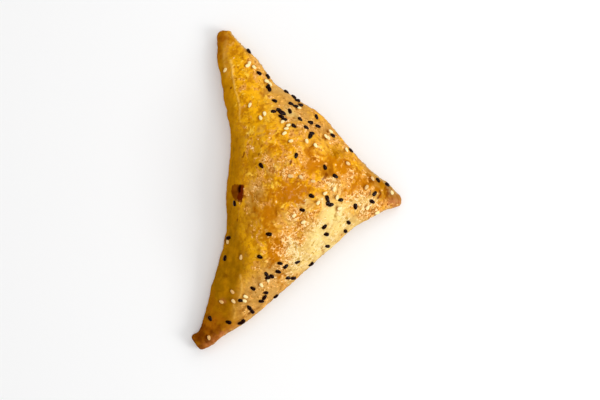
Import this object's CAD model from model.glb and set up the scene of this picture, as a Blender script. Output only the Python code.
"""A baked cheese pastry puff: its crust over the CAD solid, and the sesame strewn on it.

The crust is the CAD solid refined to a fine skin. Puffing, creases, flaky layers and a burst bubble are
shaped into that skin, and masks on its vertices say where the glaze, the bare flaky dough, the toasting
and the scorching lie. The crust's finish mixes its colours by those masks.
"""
import logging
import math
import random
from dataclasses import dataclass
from enum import Enum
from typing import Any

import bpy
import numpy as np
from mathutils import Matrix, Quaternion, Vector, noise
from mathutils.bvhtree import BVHTree


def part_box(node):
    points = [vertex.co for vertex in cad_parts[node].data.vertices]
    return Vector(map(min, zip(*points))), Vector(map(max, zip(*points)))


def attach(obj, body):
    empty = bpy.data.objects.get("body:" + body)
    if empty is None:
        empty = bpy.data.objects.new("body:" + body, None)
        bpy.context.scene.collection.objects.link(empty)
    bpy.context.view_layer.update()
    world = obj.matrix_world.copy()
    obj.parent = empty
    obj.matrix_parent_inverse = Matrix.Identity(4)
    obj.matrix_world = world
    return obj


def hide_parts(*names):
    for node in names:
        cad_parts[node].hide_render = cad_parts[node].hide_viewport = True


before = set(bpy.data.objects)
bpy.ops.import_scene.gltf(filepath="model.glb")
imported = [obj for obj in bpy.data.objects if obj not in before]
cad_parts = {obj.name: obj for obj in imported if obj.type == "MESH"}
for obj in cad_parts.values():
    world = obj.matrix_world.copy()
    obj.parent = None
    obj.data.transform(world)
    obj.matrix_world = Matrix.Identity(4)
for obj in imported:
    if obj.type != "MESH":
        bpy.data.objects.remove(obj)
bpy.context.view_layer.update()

LOG = logging.getLogger("pastry")
MM = 0.001
BODY = "root"
NODE = "pastry"

# Places on the crust are as an eye straight above the pastry sees them. The first is the eye's height
# in millimetres, and the second is the height at which those places are true to size.
EYE_HEIGHT = 1000.0
PLAN_HEIGHT = 6.0

Axes = tuple[float, float, float]
Colour = tuple[float, float, float]
# Shares of the pastry's width and length.
Place = tuple[float, float]
# A seed's place and its heading in degrees.
Lie = tuple[float, float, float]


def rgb(red: int, green: int, blue: int) -> Colour:
    """Turns display values into a linear colour.

    Args:
        red: The red value, from 0 to 255.
        green: The green value, from 0 to 255.
        blue: The blue value, from 0 to 255.

    Returns:
        The linear colour, from 0 to 1.
    """

    def linear(value: int) -> float:
        """One channel, straightened."""
        share = value / 255
        return share / 12.92 if share <= 0.04045 else ((share + 0.055) / 1.055) ** 2.4

    return linear(red), linear(green), linear(blue)


def ease(values: np.ndarray, start: float, end: float) -> np.ndarray:
    """Runs smoothly from 0 at start to 1 at end, and stays there beyond them."""
    share = np.clip((values - start) / (end - start), 0, 1)
    return share * share * (3 - 2 * share)


def bell(values: np.ndarray, middle: float, spread: float) -> np.ndarray:
    """Is 1 where the values are at the middle, and fades to 0 on both sides of it."""
    return np.exp(-(((values - middle) / spread) ** 2))


# ---------------------------------------------------------------------------------------------------
# Materials
# ---------------------------------------------------------------------------------------------------


class Wire:
    """A value in a material. Arithmetic on it adds Math nodes."""

    def __init__(self, bench: "Bench", socket: bpy.types.NodeSocket) -> None:
        """Wraps an output socket of one of the bench's nodes."""
        self.bench = bench
        self.socket = socket

    def math(self, operation: str, *others: Any) -> "Wire":
        """Adds a Math node whose first input is this value."""
        return self.bench.add("ShaderNodeMath", dict(enumerate((self, *others))), operation=operation)

    def __add__(self, other: Any) -> "Wire":
        """self + other"""
        return self.math("ADD", other)

    __radd__ = __add__

    def __sub__(self, other: Any) -> "Wire":
        """self - other"""
        return self.math("SUBTRACT", other)

    def __rsub__(self, other: Any) -> "Wire":
        """other - self"""
        return self.math("MULTIPLY_ADD", -1.0, other)

    def __mul__(self, other: Any) -> "Wire":
        """self * other"""
        return self.math("MULTIPLY", other)

    __rmul__ = __mul__

    def ease(self, start: float, end: float) -> "Wire":
        """Runs smoothly from 0 at start to 1 at end, and stays there beyond them."""
        inputs = {"Value": self, "From Min": start, "From Max": end}
        return self.bench.add("ShaderNodeMapRange", inputs, interpolation_type="SMOOTHSTEP")


@dataclass(frozen=True)
class Noise:
    """Fractal noise around 0.5: the size of its features in millimetres, its detail and its swirl."""

    size: float
    detail: float = 2.0
    rough: float = 0.5
    swirl: float = 0.0


class Bench:
    """One material being made, with a Principled shader at its end."""

    def __init__(self, name: str, **constants: Any) -> None:
        """Starts a material.

        Args:
            name: The material's name.
            constants: Values of the shader's sockets that are the same all over, with _ for a space.
        """
        self.material = bpy.data.materials.new(name)
        self.material.use_nodes = True
        self.tree = self.material.node_tree
        self.tree.nodes.clear()
        self.shader = self.tree.nodes.new("ShaderNodeBsdfPrincipled")
        output = self.tree.nodes.new("ShaderNodeOutputMaterial")
        self.tree.links.new(self.shader.outputs["BSDF"], output.inputs["Surface"])
        for socket, value in constants.items():
            self.feed(self.shader, socket.replace("_", " "), value)

    def feed(self, node: bpy.types.Node, socket: str | int, value: Any) -> None:
        """Links a wire to a node's socket, or sets the socket's own value.

        Args:
            node: The node.
            socket: The socket's identifier, name or number.
            value: A wire, a number, a colour or a vector.
        """
        found = node.inputs[socket] if isinstance(socket, int) else self._named(node.inputs, socket)
        if isinstance(value, Wire):
            self.tree.links.new(value.socket, found)
        elif found.type == "RGBA":
            found.default_value = (*value, 1.0)
        else:
            found.default_value = value

    @staticmethod
    def _named(sockets: Any, name: str) -> bpy.types.NodeSocket:
        """The socket with that identifier, or else with that name."""
        matches = [socket for socket in sockets if socket.identifier == name]
        return (matches or [socket for socket in sockets if socket.name == name])[0]

    def add(self, kind: str, inputs: dict[Any, Any], output: str | int = 0, **settings: Any) -> Wire:
        """Adds a node.

        Args:
            kind: The node's type.
            inputs: The values or wires of its sockets.
            output: Which of its outputs to return.
            settings: The node's own settings.

        Returns:
            The wire from that output.
        """
        node = self.tree.nodes.new(kind)
        for setting, value in settings.items():
            setattr(node, setting, value)
        for socket, value in inputs.items():
            self.feed(node, socket, value)
        found = node.outputs[output] if isinstance(output, int) else self._named(node.outputs, output)
        return Wire(self, found)

    def mask(self, name: str) -> Wire:
        """A mask stored on the mesh's vertices."""
        return self.add("ShaderNodeAttribute", {}, "Fac", attribute_name=name)

    def millimetres(self, squeeze: Axes = (1, 1, 1)) -> Wire:
        """The place on the object in millimetres, times squeeze along each axis."""
        scale = tuple(factor / MM for factor in squeeze)
        return self.add(
            "ShaderNodeVectorMath",
            {0: self.add("ShaderNodeTexCoord", {}, "Object"), 1: scale},
            operation="MULTIPLY",
        )

    def grain(self, place: Wire, pattern: Noise) -> Wire:
        """Fractal noise over a place in millimetres.

        Args:
            place: The place.
            pattern: The sort of noise.

        Returns:
            The noise, around 0.5.
        """
        inputs = {
            "Vector": place,
            "Scale": 1 / pattern.size,
            "Detail": pattern.detail,
            "Roughness": pattern.rough,
            "Distortion": pattern.swirl,
        }
        return self.add("ShaderNodeTexNoise", inputs, "Fac")

    def blend(self, share: Wire, under: Any, over: Any, blend_type: str = "MIX") -> Wire:
        """A colour that goes from under to over as share goes from 0 to 1.

        Args:
            share: How much of the second colour shows.
            under: The first colour.
            over: The second colour.
            blend_type: How the second colour is laid on the first.

        Returns:
            The blended colour.
        """
        inputs = {"Factor_Float": share, "A_Color": under, "B_Color": over}
        return self.add("ShaderNodeMix", inputs, "Result_Color", data_type="RGBA", blend_type=blend_type)

    def lay(self, under: Wire, colours: dict[str, Any]) -> Wire:
        """Lays colours over one another, each where the mask of its name is.

        Args:
            under: The colour below them.
            colours: The colours by mask, from the lowest to the highest.

        Returns:
            The colour that shows.
        """
        for name, over in colours.items():
            under = self.blend(self.mask(name), under, over)
        return under

    def bump(self, height: Wire, depth: float) -> Wire:
        """The surface's normal with a relief of that depth in millimetres."""
        return self.add("ShaderNodeBump", {"Height": height, "Distance": depth * MM}, "Normal")


@dataclass(frozen=True)
class CrustFinish:
    """Egg-washed puff pastry: golden glaze, bare flaky dough, toasting and scorching."""

    # The glaze where it is thin, and where it is thick.
    golden: Colour = rgb(255, 183, 10)
    honey: Colour = rgb(214, 138, 2)
    amber: Colour = rgb(192, 128, 6)
    umber: Colour = rgb(154, 102, 2)
    orange: Colour = rgb(200, 120, 2)
    # Bare dough, from baked to pale.
    peach: Colour = rgb(220, 148, 60)
    tan: Colour = rgb(214, 160, 80)
    rosy: Colour = rgb(196, 118, 66)
    cream: Colour = rgb(240, 203, 120)
    butter: Colour = rgb(255, 230, 150)
    # Crumbs and flakes on dough and on glaze, and the crests of creases.
    crumb: Colour = rgb(255, 228, 172)
    peel: Colour = rgb(255, 183, 88)
    gild: Colour = rgb(255, 202, 66)
    gleam: Colour = rgb(254, 200, 96)
    # What is browned or burnt.
    toast: Colour = rgb(160, 92, 8)
    crisp: Colour = rgb(112, 54, 2)
    scorch: Colour = rgb(102, 28, 2)
    soot: Colour = rgb(36, 2, 2)
    # The cut edges and the underside.
    side: Colour = rgb(206, 168, 104)
    layer: Colour = rgb(158, 104, 36)
    tray: Colour = rgb(186, 118, 40)
    # What pooled egg wash multiplies the colour below it by.
    stain: Colour = (0.64, 0.5, 0.22)

    mottle: Noise = Noise(5.0, 3.0, 0.6, 1.2)
    fleck: Noise = Noise(0.9, 2.0, 0.6)
    weave: Noise = Noise(2.0, 3.0, 0.6)
    speck: Noise = Noise(1.2, 0.0)
    layers: Noise = Noise(1.0, 3.0, 0.6)
    flatness: Axes = (0.2, 0.2, 1.3)

    gloss: float = 0.12
    gloss_roughness: float = 0.2
    glaze_roughness: float = 0.42
    dough_roughness: float = 0.25
    bump: float = 0.4

    def make(self) -> bpy.types.Material:
        """The finish as a material that reads the crust's masks.

        Returns:
            The new material.
        """
        bench = Bench("glazed_crust", Coat_Roughness=self.gloss_roughness, Specular_IOR_Level=0.0)
        place = bench.millimetres()
        mottle = bench.grain(place, self.mottle)
        fleck = bench.grain(place, self.fleck)
        layers = bench.grain(bench.millimetres(self.flatness), self.layers)
        pool, crumb = self.grit(bench, place, fleck)

        bright = (mottle + (fleck - 0.5) * 0.3 + bench.mask("gold") * 0.2).ease(0.4, 0.57)
        colour = bench.blend(bright, self.honey, self.golden)
        dough = {"peach": self.peach, "tan": self.tan, "cream": self.cream, "butter": self.butter}
        baked = {
            "amber": bench.blend(bench.mask("umber"), self.amber, self.umber),
            "orange": self.orange,
            "toast": bench.blend(bench.mask("crisp"), self.toast, self.crisp),
            "rosy": self.rosy,
        }
        colour = bench.lay(colour, dough | baked)
        colour = bench.blend(pool.ease(0, 1) * 0.9, colour, self.stain, "MULTIPLY")
        colour = bench.blend(crumb.ease(0.25, 0.85), colour, self.flakes(bench, crumb))
        leaf = (bench.mask("leaf") * 0.6 + (layers - 0.5) * 1.6 + (mottle - 0.5) * 0.8).ease(0.0, 0.7)
        ends = {
            "pale": self.gleam,
            "wall": bench.blend(leaf, self.side, self.layer),
            "sole": bench.blend(mottle.ease(0.3, 0.7), self.tray, self.amber),
            "scorch": self.scorch,
            "soot": self.soot,
        }
        bench.feed(bench.shader, "Base Color", bench.lay(colour, ends))

        matt = (bench.mask("wall") + bench.mask("sole") + crumb.ease(0, 1) * 0.7).ease(0, 1)
        roughness = matt * self.dough_roughness + self.glaze_roughness + (fleck - 0.5) * 0.2
        bench.feed(bench.shader, "Roughness", roughness)
        dull = (matt + bench.mask("amber") * 0.8 + bench.mask("toast")).ease(0, 1)
        bench.feed(bench.shader, "Coat Weight", (1 - dull) * self.gloss)
        relief = fleck * 0.6 + layers * bench.mask("wall")
        bench.feed(bench.shader, "Normal", bench.bump(relief, self.bump))
        return bench.material

    def grit(self, bench: Bench, place: Wire, fleck: Wire) -> tuple[Wire, Wire]:
        """The finest pits and crumbs, on top of those in the mesh.

        Args:
            bench: The material being made.
            place: The place in millimetres.
            fleck: Fine noise that breaks them up.

        Returns:
            How much egg wash has pooled, and how much crumb stands out.
        """
        weave = bench.grain(place, self.weave)
        speck = bench.grain(place, self.speck)
        ridge = 1 - (weave - 0.5).math("ABSOLUTE").ease(0, 0.06)
        pit = (weave - 0.55).ease(0, 0.08)
        gritty = (bench.mask("bare") * 0.93 + 0.12) * (1 - bench.mask("orange") * 0.5)
        pool = bench.mask("pool") * (1.7 - fleck) + (pit - 0.1 + speck.ease(0.34, 0.26)) * gritty * 1.3
        crumb = bench.mask("crumb") * (fleck * 2 + 0.2) + (ridge - 0.3 + speck.ease(0.66, 0.74)) * gritty
        return pool, crumb

    def flakes(self, bench: Bench, crumb: Wire) -> Wire:
        """The colour of crumbs and flakes, which are golden on glaze and pale on bare dough.

        Args:
            bench: The material being made.
            crumb: How much crumb stands out.

        Returns:
            Their colour.
        """
        plain = (bench.mask("bare") * 1.8 + bench.mask("tan") + bench.mask("orange") * 0.7).ease(0, 1)
        peel = bench.blend(plain, self.gild, self.peel)
        return bench.blend(bench.mask("cream") + crumb.ease(0.7, 1.4) * plain * 0.8, peel, self.crumb)


@dataclass(frozen=True)
class SeedFinish:
    """The husk of a sesame seed, each seed a little lighter or darker than the next."""

    name: str
    dark: Colour
    light: Colour
    roughness: float
    gloss: float
    relief: float
    streak: Noise = Noise(0.5)

    def make(self) -> bpy.types.Material:
        """The finish as a material that reads each seed's own shade.

        Returns:
            The new material.
        """
        bench = Bench(self.name, Specular_IOR_Level=self.gloss)
        streak = bench.grain(bench.millimetres(), self.streak)
        shade = (bench.mask("shade") + (streak - 0.5) * 0.4).ease(0, 1)
        bench.feed(bench.shader, "Base Color", bench.blend(shade, self.dark, self.light))
        bench.feed(bench.shader, "Roughness", streak * 0.2 + self.roughness)
        bench.feed(bench.shader, "Normal", bench.bump(streak, self.relief))
        return bench.material


@dataclass(frozen=True)
class TableFinish:
    """Plain matt white paint."""

    paint: Colour = (0.93, 0.93, 0.93)
    roughness: float = 0.9

    def make(self) -> bpy.types.Material:
        """The finish as a material."""
        return Bench("white_table", Base_Color=self.paint, Roughness=self.roughness).material


# ---------------------------------------------------------------------------------------------------
# The crust
# ---------------------------------------------------------------------------------------------------


@dataclass(frozen=True)
class Patch:
    """An oval area of the crust: its place, half-axes in millimetres, turn, strength and squareness."""

    place: Place
    long: float
    wide: float = 0.0
    turn: float = 0.0
    strength: float = 1.0
    square: float = 2.0


def patches(*rows: tuple[float, ...]) -> tuple[Patch, ...]:
    """Makes patches from rows of across, along and then the rest of a Patch's fields."""
    return tuple(Patch((across, along), *rest) for across, along, *rest in rows)


@dataclass(frozen=True)
class Crease:
    """A line on the crust that stands up, or lies in where its rise is below 0, in millimetres."""

    line: tuple[Place, ...]
    width: float
    rise: float
    pale: float = 0.0
    tan: float = 0.0
    toast: float = 0.0
    scorch: float = 0.0


@dataclass
class Skin:
    """The crust's surface as arrays in millimetres, with one row for each vertex."""

    points: np.ndarray
    normals: np.ndarray
    low: np.ndarray
    high: np.ndarray
    plan: np.ndarray

    @classmethod
    def of(cls, mesh: bpy.types.Mesh) -> "Skin":
        """Reads a mesh, and the CAD node's box for its places.

        Args:
            mesh: The mesh.

        Returns:
            Its skin.
        """
        points = np.zeros(len(mesh.vertices) * 3)
        mesh.vertices.foreach_get("co", points)
        points = points.reshape(-1, 3) / MM
        normals = np.array([normal.vector for normal in mesh.vertex_normals])
        low, high = (np.array(corner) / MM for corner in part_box(NODE))
        nearer = EYE_HEIGHT / (EYE_HEIGHT - points[:, 2:] + PLAN_HEIGHT)
        return cls(points, normals, low, high, points[:, :2] * nearer)

    def at(self, place: Place) -> np.ndarray:
        """A place given as shares of the box's width and length, in millimetres."""
        return self.low[:2] + np.array(place) * (self.high - self.low)[:2]

    def grain(self, size: float, seed: int, octaves: int = 1, squeeze: Axes = (1, 1, 1)) -> np.ndarray:
        """Fractal noise of zero mean and unit spread with features of about that size in millimetres.

        Args:
            size: The size of the largest features.
            seed: Picks another pattern.
            octaves: How many times the pattern is repeated at half the size.
            squeeze: Above 1, shortens the features along that axis.

        Returns:
            One value for each vertex.
        """
        scaled = self.points * squeeze / size + 31.7 * seed
        values = np.array([noise.fractal(row, 0.8, 2.0, octaves) for row in scaled.tolist()])
        return (values - values.mean()) / values.std()

    def warped(self, size: float, reach: float, seed: int) -> "Skin":
        """The same skin with its points pushed about, so that patterns on it meander."""
        shift = np.stack([self.grain(size, seed + axis) for axis in range(3)], axis=1)
        return Skin(self.points + reach * shift, self.normals, self.low, self.high, self.plan)

    def near(self, patch: Patch) -> np.ndarray:
        """A patch's strength over its place, fading beyond its edge.

        Args:
            patch: The patch.

        Returns:
            One value for each vertex.
        """
        offset = self.plan - self.at(patch.place)
        turn = math.radians(patch.turn)
        along = np.abs(offset @ (math.cos(turn), math.sin(turn)) / patch.long)
        across = np.abs(offset @ (-math.sin(turn), math.cos(turn)) / (patch.wide or patch.long))
        return patch.strength * np.exp(-(along**patch.square + across**patch.square))

    def over(self, patches: tuple[Patch, ...]) -> np.ndarray:
        """The sum of some patches."""
        return sum(self.near(patch) for patch in patches)

    def beside(self, line: tuple[Place, ...]) -> np.ndarray:
        """How far each point lies to the +X side of a line that runs along Y, in millimetres."""
        x, y = np.array([self.at(place) for place in line]).T
        return self.plan[:, 0] - np.interp(self.plan[:, 1], y, x)

    def along(self, crease: Crease) -> np.ndarray:
        """How much of a crease each vertex lies in.

        Args:
            crease: The crease.

        Returns:
            From 0 to 1, one value for each vertex.
        """
        distance = np.full(len(self.plan), np.inf)
        for start, end in zip(crease.line, crease.line[1:]):
            origin = self.at(start)
            edge = self.at(end) - origin
            offset = self.plan - origin
            share = np.clip(offset @ edge / (edge @ edge), 0, 1)
            distance = np.minimum(distance, np.linalg.norm(offset - share[:, None] * edge, axis=1))
        return bell(distance, 0, crease.width)


@dataclass
class Parts:
    """The crust's broad parts and the patterns that its looks share, one value for each vertex."""

    sole: np.ndarray
    top: np.ndarray
    flank: np.ndarray
    corners: np.ndarray
    glaze: np.ndarray
    toast: np.ndarray
    shade: np.ndarray
    ragged: np.ndarray
    drift: np.ndarray
    flakes: np.ndarray


@dataclass
class Crust:
    """The pastry's crust, from the glazed top to the layered edges and the flat underside."""

    voxel: float = 0.57
    weld: float = 0.01
    polish: int = 8
    lip: float = 8.4
    leaf: float = 1.5
    puff: float = 0.24
    # How far beside a white seed the wash has browned, as a share of the width, and the brown's half-axes.
    beside_seed: float = 0.0115
    seed_rim: tuple[float, float] = (1.0, 1.5)

    # Where the front of the pastry turns down along the fold, from the lower corner to the upper one.
    fold: tuple[Place, ...] = (
        (0.12, 0.0), (0.23, 0.12), (0.255, 0.25), (0.25, 0.34), (0.21, 0.48), (0.195, 0.60), (0.165, 0.73),
        (0.085, 0.90), (0.05, 1.0),
    )
    # Dough that no egg wash has reached.
    dry: tuple[Patch, ...] = patches(
        (0.26, 0.49, 6, 12, 0, 0.7), (0.34, 0.60, 10, 12, 0, 0.45), (0.47, 0.34, 11, 15, -30, 1.0),
        (0.64, 0.555, 6, 6, 0, 1.1), (0.50, 0.44, 10, 6, -20, 1.0), (0.80, 0.52, 12, 6, 0, 0.9),
        (0.44, 0.57, 12, 4, 0, 0.8), (0.45, 0.72, 12, 7, -40, 0.7), (0.40, 0.24, 12, 6, 40, 0.5),
        (0.20, 0.86, 8, 5, -60, 0.5), (0.26, 0.16, 8, 5, 40, 0.35), (0.84, 0.477, 11, 5, 15, 1.0),
        (0.43, 0.345, 5, 6, 0, 0.6), (0.74, 0.59, 7, 4, -50, 0.9), (0.62, 0.69, 9, 5, -50, 0.5),
        (0.575, 0.525, 4, 4, 0, 0.6), (0.574, 0.468, 4, 4, 0, 0.6),
    )
    # Thick, smooth pools of browned egg wash.
    orange: tuple[Patch, ...] = patches(
        (0.435, 0.517, 8.5, 5.5, 5, 1.1), (0.33, 0.46, 6, 9, 0, 0.9), (0.52, 0.625, 8, 7, 0, 0.6),
        (0.62, 0.635, 6, 5, 0, 0.4), (0.72, 0.54, 7, 5, 0, 0.6), (0.37, 0.38, 6, 8, 0, 0.4),
        (0.385, 0.34, 5, 6, 0, 0.5), (0.30, 0.66, 8, 6, 0, 0.3), (0.83, 0.57, 9, 4, -35, 0.6),
        (0.44, 0.245, 6, 3, 10, 0.5), (0.66, 0.59, 8, 6, 0, 0.5), (0.51, 0.60, 6, 5, 0, 0.6),
        (0.50, 0.42, 8, 5, 0, 0.35), (0.52, 0.545, 5, 4, 0, 0.4), (0.69, 0.615, 5, 5, 0, 0.8),
        (0.45, 0.50, 7, 5, 0, 0.4), (0.31, 0.385, 4, 5, 0, 0.6), (0.39, 0.335, 4, 4, 0, 0.5),
        (0.79, 0.56, 4, 4, 0, 0.5), (0.38, 0.31, 4, 4, 0, 0.5), (0.33, 0.65, 5, 4, 0, 0.4),
    )
    # Pale dough.
    cream: tuple[Patch, ...] = patches(
        (0.66, 0.455, 12, 9, 40, 1.1), (0.60, 0.36, 14, 8, 50, 1.1), (0.50, 0.30, 12, 9, 50, 0.5),
        (0.65, 0.56, 6, 6, 0, 0.6), (0.78, 0.50, 9, 5, 0, 0.5), (0.79, 0.442, 8, 3.5, 35, 0.9),
        (0.375, 0.762, 3, 4, 0, 0.6), (0.42, 0.745, 4, 3, 0, 0.5), (0.68, 0.455, 5, 5, 0, 0.5),
        (0.465, 0.35, 4, 5, 0, 0.7), (0.53, 0.40, 5, 5, 0, 0.25), (0.63, 0.345, 4, 4, 0, 0.5),
        (0.60, 0.50, 3, 3, 0, 0.5), (0.32, 0.58, 4, 4, 0, 0.4), (0.40, 0.77, 4, 3, 0, 0.4),
        (0.505, 0.49, 5, 4, 0, 0.5), (0.476, 0.24, 3, 3, 0, 0.5), (0.635, 0.385, 5, 5, 0, 0.6),
        (0.72, 0.44, 4, 4, 0, 0.5),
    )
    # Where the glaze is brighter.
    gold: tuple[Patch, ...] = patches(
        (0.216, 0.78, 3, 5), (0.25, 0.705, 4, 6), (0.21, 0.85, 3, 5), (0.20, 0.90, 3, 3),
    )
    # The palest dough.
    butter: tuple[Patch, ...] = patches(
        (0.67, 0.457, 5, 5, 0, 0.9), (0.64, 0.35, 4, 3, 40, 0.8), (0.59, 0.378, 3, 7, 0, 0.9),
        (0.685, 0.54, 2.5, 2.5, 0, 0.6), (0.81, 0.47, 3, 2, 30, 0.6),
    )
    # The upper and the right corner.
    corners: tuple[Patch, ...] = (
        Patch((0.0, 1.0), 10, 12, 0, 0.38), Patch((0.995, 0.53), 6, 9, 0, 0.9),
    )
    # The lower corner, which is the brownest.
    crisp_corner: Patch = Patch((0.02, 0.03), 17, 17, 0, 1.3)
    toast: tuple[Patch, ...] = patches(
        (0.13, 0.08, 16, 9, 30, 0.35), (0.606, 0.583, 3.5, 2.5, 0, 0.7), (0.627, 0.597, 2, 3, 0, 0.6),
        (0.82, 0.585, 9, 3, -45, 0.4), (0.02, 0.95, 2, 14, 0, 0.5), (0.09, 0.14, 2, 9, 0, 0.3),
        (0.03, 0.97, 1.5, 2, 0, 0.6), (0.07, 0.975, 2, 2, 0, 0.35), (0.42, 0.20, 14, 6, 45, 0.15),
        (0.865, 0.477, 1.2, 1.8, 0, 0.6), (0.842, 0.57, 1.6, 1.6, 0, 0.6),
        (0.805, 0.55, 1.2, 2, 0, 0.5), (0.815, 0.586, 1, 3, 20, 0.6), (0.82, 0.48, 0.8, 2.4, 0, 0.4),
        (0.11, 0.075, 2, 3, 0, 0.3), (0.59, 0.718, 4, 3, 0, 0.4), (0.34, 0.475, 7, 4, 0, 0.28),
        (0.10, 0.95, 3, 3, 0, 0.3), (0.10, 0.915, 3, 6, 0, 0.2), (0.222, 0.084, 5, 3, 40, 0.3),
        (0.885, 0.566, 3, 3, 0, 0.2), (0.263, 0.529, 0.8, 0.8, 0, 0.9), (0.213, 0.49, 1.0, 1.6, 0, 0.9),
    )
    # Egg wash as on the fold.
    glaze: tuple[Patch, ...] = patches(
        (0.97, 0.535, 4.5, 5.0, -30, 1.3, 3), (0.905, 0.563, 5, 2.6, -35, 1.3),
        (0.64, 0.645, 4, 4, 0, 0.9), (0.67, 0.64, 6, 4, 0, 0.4), (0.26, 0.51, 1.5, 4, 0, 0.5),
        (0.86, 0.60, 7, 2, -48, 0.6), (0.82, 0.565, 2, 3, 0, 0.4), (0.27, 0.39, 5, 9, 0, 0.6),
        (0.24, 0.62, 5, 10, 0, 0.7), (0.90, 0.54, 5, 4, 0, 0.5), (0.27, 0.47, 4, 6, 0, 0.45),
        (0.326, 0.547, 2.5, 2.5, 0, 0.6, 4), (0.218, 0.43, 4, 7, 0, 0.6), (0.29, 0.28, 5, 8, 0, 0.5),
    )
    rosy: tuple[Patch, ...] = patches(
        (0.966, 0.511, 4.0, 2.4, -15, 1.2, 4), (0.15, 0.045, 11, 2.2, 36, 0.9),
        (0.87, 0.475, 9, 2, 15, 0.4), (0.15, 0.16, 1.5, 1.5, 0, 0.5),
    )
    tan: tuple[Patch, ...] = patches(
        (0.30, 0.20, 14, 8, 50, 0.9), (0.40, 0.27, 12, 8, 50, 0.7), (0.40, 0.78, 18, 9, -50, 0.75),
        (0.24, 0.13, 9, 6, 40, 0.6), (0.26, 0.47, 4, 12, 0, 0.5), (0.59, 0.72, 6, 4, -45, 0.5),
        (0.80, 0.625, 15, 2.5, -52, 0.7), (0.21, 0.91, 14, 3, -52, 0.5),
        (0.355, 0.155, 16, 2.5, 48, 0.8), (0.686, 0.67, 4, 4, 0, 0.4), (0.283, 0.507, 4, 5, 0, 0.6),
        (0.235, 0.505, 2, 9, 0, 0.5), (0.385, 0.42, 5, 6, 0, 0.5), (0.172, 0.382, 1.2, 2.5, -30, 0.6),
    )
    # The burst bubble, the flap that covers a corner of it, its scorched strip and its sooty hole.
    burst: Patch = Patch((0.173, 0.496), 3.5, 5.2, 0, square=6)
    flap: Patch = Patch((0.143, 0.465), 4.2)
    burnt: Patch = Patch((0.191, 0.500), 1.7, 4.6, 0, square=4)
    core: Patch = Patch((0.178, 0.511), 1.4, 2.5, -5)
    creases: tuple[Crease, ...] = (
        Crease(((0.045, 0.985), (0.048, 0.93), (0.06, 0.88), (0.065, 0.86)), 1.7, 0.2, tan=0.9),
        Crease(((0.042, 0.94), (0.045, 0.91), (0.055, 0.885)), 0.6, 0.1, pale=0.3),
        Crease(((0.065, 0.955), (0.075, 0.952), (0.085, 0.962)), 0.5, 0.2, pale=0.5),
        Crease(((0.082, 0.905), (0.095, 0.88), (0.10, 0.855)), 0.7, 0.3, pale=1.0),
        Crease(((0.10, 0.855), (0.115, 0.82), (0.145, 0.77), (0.155, 0.72)), 0.45, 0.3, pale=0.8),
        Crease(((0.225, 0.245), (0.238, 0.21), (0.235, 0.185), (0.225, 0.165)), 0.6, 0.3, pale=0.5),
        Crease(((0.205, 0.15), (0.215, 0.13), (0.215, 0.11)), 0.6, 0.25, pale=0.4),
        Crease(((0.918, 0.56), (0.924, 0.54), (0.928, 0.52)), 1.5, -0.6, toast=1.1),
        Crease(((0.942, 0.517), (0.938, 0.508), (0.93, 0.50)), 0.7, -0.4, toast=0.9),
        Crease(((0.38, 0.245), (0.44, 0.26), (0.49, 0.25)), 0.8, -0.4, toast=0.7),
        Crease(((0.20, 0.085), (0.27, 0.12), (0.33, 0.15)), 0.8, -0.4, toast=0.8),
        Crease(((0.53, 0.45), (0.545, 0.475), (0.575, 0.49)), 0.5, 0.3, pale=0.6),
        Crease(((0.445, 0.40), (0.455, 0.42), (0.478, 0.432)), 0.5, 0.3, pale=0.8),
        Crease(((0.40, 0.60), (0.41, 0.625), (0.45, 0.635)), 0.4, 0.25, pale=0.6),
        Crease(((0.22, 0.475), (0.288, 0.438), (0.307, 0.408)), 1.1, 0.2, tan=0.8),
        Crease(((0.108, 0.967), (0.133, 0.951)), 0.45, 0.2, pale=0.5),
        Crease(((0.045, 0.994), (0.072, 0.982)), 0.8, -0.3, toast=0.7),
        Crease(((0.448, 0.6415), (0.455, 0.655), (0.473, 0.658)), 0.4, 0.25, pale=0.8),
        Crease(((0.424, 0.602), (0.427, 0.611)), 0.8, 0.3, scorch=0.9),
        Crease(((0.185, 0.61), (0.19, 0.625)), 0.5, -0.2, scorch=0.7),
        Crease(((0.26, 0.622), (0.263, 0.626)), 0.5, -0.2, scorch=0.7),
        Crease(((0.185, 0.413), (0.187, 0.417)), 0.6, -0.2, scorch=0.7),
        Crease(((0.597, 0.566), (0.612, 0.582)), 1.0, -0.3, scorch=0.6),
        Crease(((0.883, 0.545), (0.889, 0.537), (0.878, 0.522)), 0.6, -0.3, scorch=0.8),
        Crease(((0.836, 0.542), (0.838, 0.532)), 0.7, -0.3, scorch=0.7),
        Crease(((0.092, 0.821), (0.094, 0.824)), 0.6, -0.2, scorch=0.9),
    )

    def refine(self) -> bpy.types.Object:
        """The CAD solid as a fine, even skin.

        Returns:
            The new crust object, linked into the scene.
        """
        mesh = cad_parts[NODE].data.copy()
        mesh.name = "crust"
        crust = bpy.data.objects.new("crust", mesh)
        bpy.context.scene.collection.objects.link(crust)
        weld = crust.modifiers.new("weld", "WELD")
        weld.merge_threshold = self.weld * MM
        rounding = crust.modifiers.new("rounding", "SUBSURF")
        rounding.levels = rounding.render_levels = 1
        skin = crust.modifiers.new("skin", "REMESH")
        skin.mode = "VOXEL"
        skin.voxel_size = self.voxel * MM
        polish = crust.modifiers.new("polish", "SMOOTH")
        polish.factor = 0.5
        polish.iterations = self.polish
        evaluated = crust.evaluated_get(bpy.context.evaluated_depsgraph_get())
        crust.data = bpy.data.meshes.new_from_object(evaluated)
        crust.modifiers.clear()
        crust.data.name = "crust"
        return crust

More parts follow.
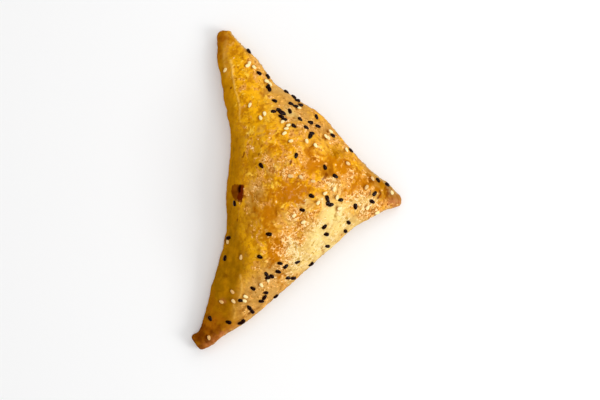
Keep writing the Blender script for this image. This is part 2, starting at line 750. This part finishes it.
    def survey(self, skin: Skin) -> Parts:
        """Finds the crust's broad parts.

        Args:
            skin: The smooth skin.

        Returns:
            The parts, and the patterns that the looks share.
        """
        facing_up = skin.normals[:, 2]
        ragged = skin.grain(1.6, 5, 2)
        drift = skin.grain(17, 3, 2)
        flakes = 0.85 * skin.warped(7, 1.6, 40).grain(6.5, 20, 2, (1.2, 0.75, 1))
        flakes = flakes + 0.45 * skin.grain(2.4, 23, 2)
        flank = ease(-skin.beside(self.fold) + 1.2 * drift, -5, 7)
        corners = np.clip(skin.over((*self.corners, self.crisp_corner)), 0, 1)
        shade = self.shade_of_seeds(skin)
        foot = flank * ease(-skin.points[:, 2] + 1.2 * ragged, -8, -1) * (0.35 + 0.15 * drift)
        toast = corners * (1 + 0.25 * skin.grain(3.2, 41, 3)) + skin.over(self.toast)
        return Parts(
            sole=ease(-facing_up, 0.5, 0.9),
            top=ease(facing_up, 0.05, 0.4),
            flank=flank,
            corners=corners,
            glaze=np.clip(skin.over(self.glaze) + 0.1 * flakes, 0, 1),
            toast=toast + foot + 0.7 * shade * (1 - flank),
            shade=shade,
            ragged=ragged,
            drift=drift,
            flakes=flakes,
        )

    def shade_of_seeds(self, skin: Skin) -> np.ndarray:
        """Where egg wash has pooled and browned beside the white seeds.

        Args:
            skin: The smooth skin.

        Returns:
            From 0 to 1, one value for each vertex.
        """
        shade = np.zeros(len(skin.points))
        for across, along, _ in WHITE_SEEDS + GLAZED_SEEDS:
            shade = np.maximum(shade, skin.near(Patch((across - self.beside_seed, along), *self.seed_rim)))
        return shade

    def colouring(self, skin: Skin, parts: Parts) -> dict[str, np.ndarray]:
        """Where the glaze, the toasting, the cut edges and the underside lie.

        Args:
            skin: The smooth skin.
            parts: The crust's broad parts.

        Returns:
            Masks by name.
        """
        facing_x = skin.normals[:, 0]
        edge = ease(-skin.points[:, 2] - 0.4 * parts.ragged, -self.lip - 1.4, -self.lip + 0.6)
        wall = edge * ease(facing_x, 0.1, 0.6) * (1 - parts.sole) * (1 - 0.8 * parts.corners)
        lengthwise = ease(-skin.points[:, 1], -35, 80)
        streaks = skin.grain(1.8, 33, 2, (1, 0.12, 0.5))
        return {
            "sole": parts.sole,
            "wall": np.clip(wall, 0, 1),
            "leaf": np.sin(2 * math.pi * self.sheet(skin)),
            "tan": ease(facing_x, 0.05, 0.45) * (0.2 + 0.1 * parts.drift) + skin.over(self.tan),
            "cream": ease(skin.over(self.cream) + 0.15 * parts.drift + 0.14 * parts.flakes, 0.15, 0.95),
            "gold": skin.over(self.gold),
            "butter": skin.over(self.butter) * (0.85 + 0.25 * parts.flakes),
            "amber": np.maximum(parts.flank, parts.glaze),
            "umber": parts.flank * (lengthwise + 0.12 * streaks) + 0.2 * skin.grain(4, 36, 3),
            "toast": parts.toast + 0.12 * parts.flakes + 0.05 * parts.ragged,
            "crisp": skin.near(self.crisp_corner) - 0.35 + 0.3 * skin.grain(4, 37, 3),
            "rosy": skin.over(self.rosy) * (0.8 + 0.3 * parts.ragged),
        }

    def sheet(self, skin: Skin) -> np.ndarray:
        """Which leaf of dough each point of the sides belongs to, counted up from the tray."""
        return skin.points[:, 2] / self.leaf + 0.3 * skin.grain(11, 14, 2) + 0.1 * skin.grain(3, 16)

    def dough(self, skin: Skin, parts: Parts) -> dict[str, np.ndarray]:
        """Where the dough is bare and flaky, and where egg wash has pooled in it.

        Args:
            skin: The smooth skin.
            parts: The crust's broad parts.

        Returns:
            Masks by name.
        """
        upper = 1 - parts.flank
        orange = ease(skin.over(self.orange) + 0.22 * parts.flakes + 0.08 * parts.ragged, 0.3, 0.8)
        dry = skin.over(self.dry)
        bare = ease(2.0 * dry - parts.flakes - 1.2 - 3 * parts.flank - 0.7 * orange, -0.5, 0.4)
        coarse = bare * ease(dry, 0.3, 1.1)

        # Ridges and pits of dry dough, and long curled flakes that come and go.
        ripple = skin.warped(4, 0.5, 50).grain(3.0, 24, 2)
        grit = skin.grain(1.9, 22, 2)
        wave = skin.warped(6, 0.9, 60).grain(5.5, 34, 3)
        broken = ease(skin.grain(6, 35, 2), -0.6, 1.0) * (1 - 0.85 * parts.flank)
        crests = bell(wave, 0, 0.2) * broken
        hollows = bell(wave, 0.5, 0.28) * broken
        beads = ease(skin.grain(1.8, 25), 0.9, 2.0)

        crumb = coarse * (0.85 * bell(ripple, 0, 0.42) + 0.5 * ease(grit, 0, 1.8))
        crumb += 0.4 * beads * (1 - 0.8 * parts.flank) + 0.6 * crests
        crumb += 0.4 * ease(skin.grain(4.5, 30, 3), 0.0, 1.2) * upper * (1 - bare) * (1 - 0.7 * orange)
        crumb *= 1 - parts.shade
        pool = coarse * (1.2 * ease(ripple, 0.5, 1.2) + 0.7 * ease(-grit, 0, 2))
        pool += 0.55 * hollows * (1 - 0.5 * bare)
        pool += (1 - bare) * 0.2 * ease(skin.grain(3.0, 26, 3), 0.2, 1.6)
        pool += 0.3 * parts.flank * ease(skin.grain(6, 27, 3), 0.5, 2.0)
        pool += 0.5 * parts.shade
        pool += 0.5 * np.maximum(parts.corners, parts.glaze) * ease(skin.grain(2.6, 40, 3), 0.1, 1.6)
        return {
            "bare": bare,
            "peach": bare * (0.85 + 0.25 * skin.grain(4.5, 29, 2)),
            "orange": orange * upper * parts.top,
            "crumb": crumb * parts.top * (1 - 0.8 * np.clip(parts.toast + parts.glaze, 0, 1)),
            "pool": pool * parts.top,
        }

    def press_creases(self, skin: Skin, parts: Parts, masks: dict[str, np.ndarray]) -> None:
        """Marks the creases.

        Args:
            skin: The smooth skin.
            parts: The crust's broad parts.
            masks: The masks to mark them on.
        """
        worn = np.clip(0.8 + 0.35 * parts.ragged, 0, 1)
        for crease in self.creases:
            band = skin.along(crease) * parts.top
            for name, strength in (("pale", crease.pale), ("toast", crease.toast), ("tan", crease.tan)):
                masks[name] = np.maximum(masks[name], strength * band * worn)
            scorch = crease.scorch * ease(band + 0.15 * parts.ragged, 0.4, 0.7)
            masks["scorch"] = np.maximum(masks["scorch"], scorch)

    def burst_bubble(self, skin: Skin, parts: Parts, masks: dict[str, np.ndarray]) -> None:
        """Marks the burst bubble: its browned skin, the scorched strip in it and the sooty hole.

        Args:
            skin: The smooth skin.
            parts: The crust's broad parts.
            masks: The masks to mark it on.
        """
        browned = ease(skin.near(self.burst) - skin.near(self.flap) + 0.05 * parts.ragged, 0.3, 0.45)
        burnt = 0.95 * ease(skin.near(self.burnt) + 0.08 * parts.ragged, 0.25, 0.6)
        masks["crumb"] *= 1 - browned
        masks["toast"] = np.maximum(masks["toast"], browned)
        masks["crisp"] = np.maximum(masks["crisp"], browned * (0.5 + 0.15 * skin.grain(2.5, 38)))
        masks["scorch"] = np.maximum.reduce((masks["scorch"], burnt, 0.25 * browned))
        masks["soot"] = ease(skin.near(self.core) + 0.1 * parts.ragged, 0.3, 0.7) * parts.top

    def areas(self, skin: Skin) -> dict[str, np.ndarray]:
        """Where each look lies on the crust.

        Args:
            skin: The smooth skin.

        Returns:
            Masks by name, one value for each vertex, most of them from 0 to 1.
        """
        parts = self.survey(skin)
        marks = {name: np.zeros(len(skin.points)) for name in ("pale", "scorch", "soot")}
        masks = self.colouring(skin, parts) | self.dough(skin, parts) | marks
        self.press_creases(skin, parts, masks)
        self.burst_bubble(skin, parts, masks)
        return masks

    def relief(self, skin: Skin, masks: dict[str, np.ndarray]) -> np.ndarray:
        """How far each vertex stands out from the smooth skin.

        Args:
            skin: The smooth skin.
            masks: The areas of each look.

        Returns:
            Heights in millimetres.
        """
        top = (1 - masks["sole"]) * (1 - masks["wall"])
        height = top * (self.puff * skin.grain(13, 11, 2) + 0.12 * skin.grain(4.5, 12, 2))
        height += 0.5 * masks["crumb"] - 0.32 * masks["pool"] + 0.1 * masks["orange"]
        height += masks["wall"] * (0.3 * masks["leaf"] + 0.14 * skin.grain(2.5, 15, 2, (1, 1, 2.5)))
        height += 0.1 * masks["sole"] * skin.grain(6, 16, 3)
        for crease in self.creases:
            height += crease.rise * top * skin.along(crease)
        height += top * (0.4 * masks["scorch"] - 0.7 * masks["soot"])
        return height

    def build(self) -> bpy.types.Object:
        """Makes the crust, dresses it and sets it in the CAD solid's place.

        Returns:
            The crust object.
        """
        crust = self.refine()
        skin = Skin.of(crust.data)
        masks = self.areas(skin)
        shaped = skin.points + skin.normals * self.relief(skin, masks)[:, None]
        shaped[:, 2] = np.maximum(shaped[:, 2], 0)
        crust.data.vertices.foreach_set("co", (shaped * MM).ravel())
        crust.data.update()
        for name, values in masks.items():
            layer = crust.data.attributes.new(name, "FLOAT", "POINT")
            layer.data.foreach_set("value", np.clip(values, -1, 1))
        crust.data.polygons.foreach_set("use_smooth", [True] * len(crust.data.polygons))
        crust.data.materials.clear()
        crust.data.materials.append(CrustFinish().make())
        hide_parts(NODE)
        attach(crust, BODY)
        return crust


# ---------------------------------------------------------------------------------------------------
# The sesame
# ---------------------------------------------------------------------------------------------------

BLACK_SEEDS: tuple[Lie, ...] = (
    # The upper corner.
    (0.165, 0.938, -45), (0.227, 0.875, -30), (0.271, 0.866, -60), (0.278, 0.836, 60), (0.285, 0.829, -70),
    (0.372, 0.823, -40), (0.410, 0.810, -20), (0.430, 0.800, 10), (0.400, 0.788, -15), (0.447, 0.787, -5),
    (0.425, 0.782, 0), (0.397, 0.766, -65), (0.316, 0.793, -15), (0.317, 0.760, 10), (0.343, 0.766, -10),
    (0.351, 0.759, -50), (0.366, 0.757, -30), (0.357, 0.746, -20), (0.374, 0.739, -10), (0.425, 0.721, -30),
    (0.453, 0.743, -40), (0.505, 0.735, 0), (0.487, 0.719, -30), (0.545, 0.726, -15), (0.532, 0.755, -75),
    (0.510, 0.694, 60), (0.517, 0.703, 10), (0.622, 0.702, -20), (0.720, 0.661, -30),
    # The middle and the right corner.
    (0.598, 0.602, -65), (0.653, 0.577, -20), (0.449, 0.630, 80), (0.281, 0.590, -45), (0.869, 0.576, -60),
    (0.917, 0.566, -30), (0.858, 0.535, 55), (0.849, 0.510, -20), (0.690, 0.506, 8), (0.768, 0.490, -80),
    (0.740, 0.440, -50), (0.728, 0.412, -45), (0.545, 0.510, -22), (0.504, 0.464, -12), (0.624, 0.507, -70),
    (0.629, 0.494, 85), (0.643, 0.489, 10), (0.622, 0.419, 45), (0.633, 0.397, -10), (0.645, 0.360, -12),
    (0.166, 0.466, -70),
    # The lower half.
    (0.572, 0.300, 50), (0.503, 0.303, 20), (0.417, 0.294, -10), (0.446, 0.286, 40), (0.412, 0.268, -15),
    (0.462, 0.251, -10), (0.488, 0.252, 5), (0.349, 0.380, 0), (0.151, 0.357, 20), (0.142, 0.294, 80),
    (0.316, 0.308, -15), (0.353, 0.257, -60), (0.362, 0.246, 20), (0.381, 0.252, -40), (0.294, 0.208, -25),
    (0.358, 0.199, -10), (0.355, 0.184, 60), (0.341, 0.171, 0), (0.410, 0.191, 45), (0.238, 0.168, 0),
    (0.284, 0.148, -45), (0.299, 0.138, -50), (0.247, 0.098, 20), (0.258, 0.103, 60), (0.187, 0.097, -10),
    (0.094, 0.103, -60),
)
WHITE_SEEDS: tuple[Lie, ...] = (
    # The upper corner.
    (0.174, 0.902, 70), (0.168, 0.895, 30), (0.200, 0.892, -50), (0.270, 0.852, -20), (0.288, 0.843, -60),
    (0.443, 0.778, -10), (0.367, 0.731, 60), (0.398, 0.722, 30), (0.388, 0.711, 10),
    (0.381, 0.696, 40), (0.256, 0.737, -60), (0.275, 0.750, -70), (0.496, 0.678, -70), (0.542, 0.667, -50),
    (0.417, 0.674, 15), (0.589, 0.698, -60), (0.602, 0.694, -55), (0.611, 0.714, -40), (0.699, 0.662, -60),
    (0.197, 0.773, 80),
    # The middle and the right corner.
    (0.655, 0.538, 70), (0.612, 0.522, 40),
    (0.673, 0.513, 85), (0.581, 0.491, 60), (0.467, 0.445, 45), (0.515, 0.427, 30),
    (0.880, 0.477, 20), (0.690, 0.480, 30), (0.830, 0.490, 60), (0.945, 0.543, -60),
    # The lower half.
    (0.366, 0.238, -80), (0.335, 0.221, -50), (0.262, 0.181, -20), (0.257, 0.168, -10),
)
# White seeds that egg wash has run over.
GLAZED_SEEDS: tuple[Lie, ...] = (
    (0.057, 0.875, 60), (0.430, 0.566, -10), (0.485, 0.565, -40), (0.545, 0.556, 0), (0.815, 0.552, 60),
    (0.842, 0.580, -60), (0.712, 0.620, -20), (0.221, 0.301, 85), (0.193, 0.192, -50), (0.203, 0.163, -45),
    (0.143, 0.158, -20), (0.097, 0.043, -75), (0.148, 0.345, -70),
)

@dataclass(frozen=True)
class SeedSort:
    """A sort of sesame: its finish, its size beside a plump black seed's, and how deep it lies."""

    finish: SeedFinish
    size: float
    sunk: float


class SeedKind(Enum):
    """The two sorts of sesame."""

    BLACK = SeedSort(
        SeedFinish("black_husk", rgb(10, 1, 0), rgb(32, 7, 0), roughness=0.1, gloss=0.15, relief=0.015),
        size=1.0,
        sunk=0.22,
    )
    WHITE = SeedSort(
        SeedFinish(
            "white_husk", rgb(206, 140, 60), rgb(255, 236, 172), roughness=0.4, gloss=0.05, relief=0.08
        ),
        size=0.82,
        sunk=0.3,
    )


@dataclass
class Sesame:
    """Sesame strewn over the crust, sunk a little into the glaze."""

    length: float = 3.4
    width: float = 2.25
    thickness: float = 1.1
    fullness: float = 0.75
    taper: float = 0.2
    widest: float = 1.04
    rings: int = 8
    sides: int = 12
    # How much seeds differ in size and in tilt, how far they keep level on a slope, and how much of the
    # bumps below a seed lifts it.
    unlike: float = 0.06
    roll: float = 0.14
    pitch: float = 0.1
    level: float = 0.4
    perch: float = 0.6
    # The lightest and darkest shades of a seed, and how much egg wash darkens one.
    shades: tuple[float, float] = (0.7, 1)
    washed: float = 0.38

    def seed_shape(self) -> tuple[list[Vector], list[tuple[int, ...]]]:
        """One seed, pointed at one end, lying on its flat with its middle at the origin.

        Returns:
            Its vertices in millimetres, and its faces.
        """
        points = [Vector((-self.length / 2, 0, 0))]
        for ring in range(1, self.rings):
            angle = math.pi * ring / self.rings
            plump = math.sin(angle) ** self.fullness * (1 + self.taper * math.cos(angle)) / self.widest
            for side in range(self.sides):
                around = 2 * math.pi * side / self.sides
                across = math.cos(around) * plump * self.width / 2
                up = math.sin(around) * plump * self.thickness / 2
                points.append(Vector((-math.cos(angle) * self.length / 2, across, up)))
        points.append(Vector((self.length / 2, 0, 0)))
        faces: list[tuple[int, ...]] = []
        last = len(points) - 1
        for side in range(self.sides):
            after = (side + 1) % self.sides
            faces.append((0, 1 + after, 1 + side))
            faces.append((last, last - self.sides + side, last - self.sides + after))
            for ring in range(self.rings - 2):
                here = 1 + ring * self.sides
                there = here + self.sides
                faces.append((here + side, here + after, there + after, there + side))
        return points, faces

    def settle(self, rng: random.Random, sort: SeedSort, lie: Lie, box: Skin, tree: BVHTree) -> Matrix:
        """Lays one seed on the crust, turned by its heading and sunk a little.

        Args:
            rng: The source of chance for its size and tilt.
            sort: The sort of sesame it is.
            lie: Its place and heading.
            box: The skin that gives places in millimetres.
            tree: The crust's faces.

        Returns:
            Its place, turn and size in metres.
        """
        eye = Vector((0, 0, EYE_HEIGHT * MM))
        spot = Vector((*box.at(lie[:2]) * MM, PLAN_HEIGHT * MM))
        hit, normal, _, _ = tree.ray_cast(eye, (spot - eye).normalized())
        if hit is None:
            hit, normal, _, _ = tree.find_nearest(spot)
        around = tree.find_nearest_range(hit, self.width / 2 * MM)
        normal = sum((found[1] for found in around), normal).normalized()
        rolled = Quaternion((1, 0, 0), rng.gauss(0, self.roll))
        tilt = rolled @ Quaternion((0, 1, 0), rng.gauss(0, self.pitch))
        heading = Quaternion((0, 0, 1), math.radians(lie[2] + rng.choice((0, 180))))
        up = Vector((0, 0, 1))
        turn = up.rotation_difference(normal.lerp(up, self.level)) @ heading @ tilt
        size = sort.size * rng.uniform(1 - self.unlike, 1 + self.unlike)
        bumps = self.perch * max((found[0] - hit).dot(normal) for found in around)
        rise = bumps + self.thickness * (0.5 - sort.sunk) * size * MM
        return Matrix.LocRotScale(hit + normal * rise, turn, Vector((size, size, size)))

    def strew(self, kind: SeedKind, lies: tuple[Lie, ...], crust: bpy.types.Object) -> bpy.types.Object:
        """Lays all the seeds of a kind and joins them into one piece.

        Args:
            kind: Which sesame it is.
            lies: Where each seed lies.
            crust: The finished crust.

        Returns:
            The seeds as one object.
        """
        rng = random.Random(len(lies))
        box = Skin.of(crust.data)
        tree = BVHTree.FromObject(crust, bpy.context.evaluated_depsgraph_get())
        places = [self.settle(rng, kind.value, lie, box, tree) for lie in lies]
        points, faces = self.seed_shape()
        vertices = [place @ (point * MM) for place in places for point in points]
        polygons = [
            tuple(index + start * len(points) for index in face)
            for start in range(len(places))
            for face in faces
        ]
        mesh = bpy.data.meshes.new(f"{kind.name.lower()}_sesame")
        mesh.from_pydata(vertices, [], polygons)
        mesh.polygons.foreach_set("use_smooth", [True] * len(mesh.polygons))
        shades = [rng.uniform(*self.shades) - (self.washed if lie in GLAZED_SEEDS else 0) for lie in lies]
        shade = mesh.attributes.new("shade", "FLOAT", "POINT")
        shade.data.foreach_set("value", np.repeat(shades, len(points)))
        mesh.materials.append(kind.value.finish.make())
        seeds = bpy.data.objects.new(mesh.name, mesh)
        bpy.context.scene.collection.objects.link(seeds)
        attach(seeds, BODY)
        return seeds

    def build(self, crust: bpy.types.Object) -> list[bpy.types.Object]:
        """Strews both kinds over the crust and returns the two pieces."""
        return [
            self.strew(SeedKind.BLACK, BLACK_SEEDS, crust),
            self.strew(SeedKind.WHITE, WHITE_SEEDS + GLAZED_SEEDS, crust),
        ]


# ---------------------------------------------------------------------------------------------------
# The studio
# ---------------------------------------------------------------------------------------------------


@dataclass(frozen=True)
class Lamp:
    """A square soft light that points at the pastry: its place and side in metres, and its power."""

    name: str
    place: Axes
    side: float
    power: float

    def hang(self) -> None:
        """Makes the light."""
        data = bpy.data.lights.new(self.name, "AREA")
        data.shape = "SQUARE"
        data.size = self.side
        data.energy = self.power
        light = bpy.data.objects.new(self.name, data)
        light.location = self.place
        light.rotation_mode = "QUATERNION"
        light.rotation_quaternion = (-Vector(self.place)).to_track_quat("-Z", "Y")
        bpy.context.scene.collection.objects.link(light)


@dataclass
class Studio:
    """A white table, soft light from the right, behind and overhead, and a camera straight above."""

    view_width: float = 0.336
    lens: float = 107.0
    sensor: float = 36.0
    focus_height: float = 0.006
    middle: tuple[float, float] = (-0.0012, -0.001)
    roll: float = 5.16
    table: float = 8.0
    sky: float = 0.62
    lamps: tuple[Lamp, ...] = (
        Lamp("key", (0.88, -0.18, 0.63), 0.5, 4.75),
        Lamp("back", (0.4, 0.7, 0.8), 0.8, 2.3),
        Lamp("glint", (0.05, -0.03, 1.3), 0.12, 2.5),
    )

    def lay_table(self) -> None:
        """The plain pale floor."""
        half = self.table / 2
        mesh = bpy.data.meshes.new("table")
        corners = [(-half, -half, 0), (half, -half, 0), (half, half, 0), (-half, half, 0)]
        mesh.from_pydata(corners, [], [(0, 1, 2, 3)])
        mesh.materials.append(TableFinish().make())
        table = bpy.data.objects.new("table", mesh)
        bpy.context.scene.collection.objects.link(table)

    def light(self) -> None:
        """The lamps, and an even white sky that the glaze doesn't mirror."""
        for lamp in self.lamps:
            lamp.hang()
        world = bpy.data.worlds.new("studio")
        world.use_nodes = True
        background = world.node_tree.nodes["Background"]
        background.inputs["Strength"].default_value = self.sky
        background.inputs["Color"].default_value = (1, 1, 1, 1)
        world.cycles_visibility.glossy = False
        bpy.context.scene.world = world

    def set_camera(self) -> None:
        """The camera, looking straight down."""
        data = bpy.data.cameras.new("camera")
        data.lens = self.lens
        data.sensor_width = self.sensor
        data.clip_end = 20
        camera = bpy.data.objects.new("camera", data)
        height = self.view_width * self.lens / self.sensor + self.focus_height
        camera.location = (*self.middle, height)
        camera.rotation_euler = (0, 0, math.radians(self.roll))
        bpy.context.scene.collection.objects.link(camera)
        bpy.context.scene.camera = camera
        bpy.context.scene.view_settings.view_transform = "Standard"


def main() -> None:
    """Sets up the studio, then builds the crust and the sesame on it."""
    logging.basicConfig(level=logging.INFO, format="%(message)s")
    studio = Studio()
    studio.set_camera()
    studio.lay_table()
    studio.light()
    crust = Crust().build()
    for piece in [crust, *Sesame().build(crust)]:
        LOG.info("%s: %d faces", piece.name, len(piece.data.polygons))


if __name__ == "__main__":
    main()
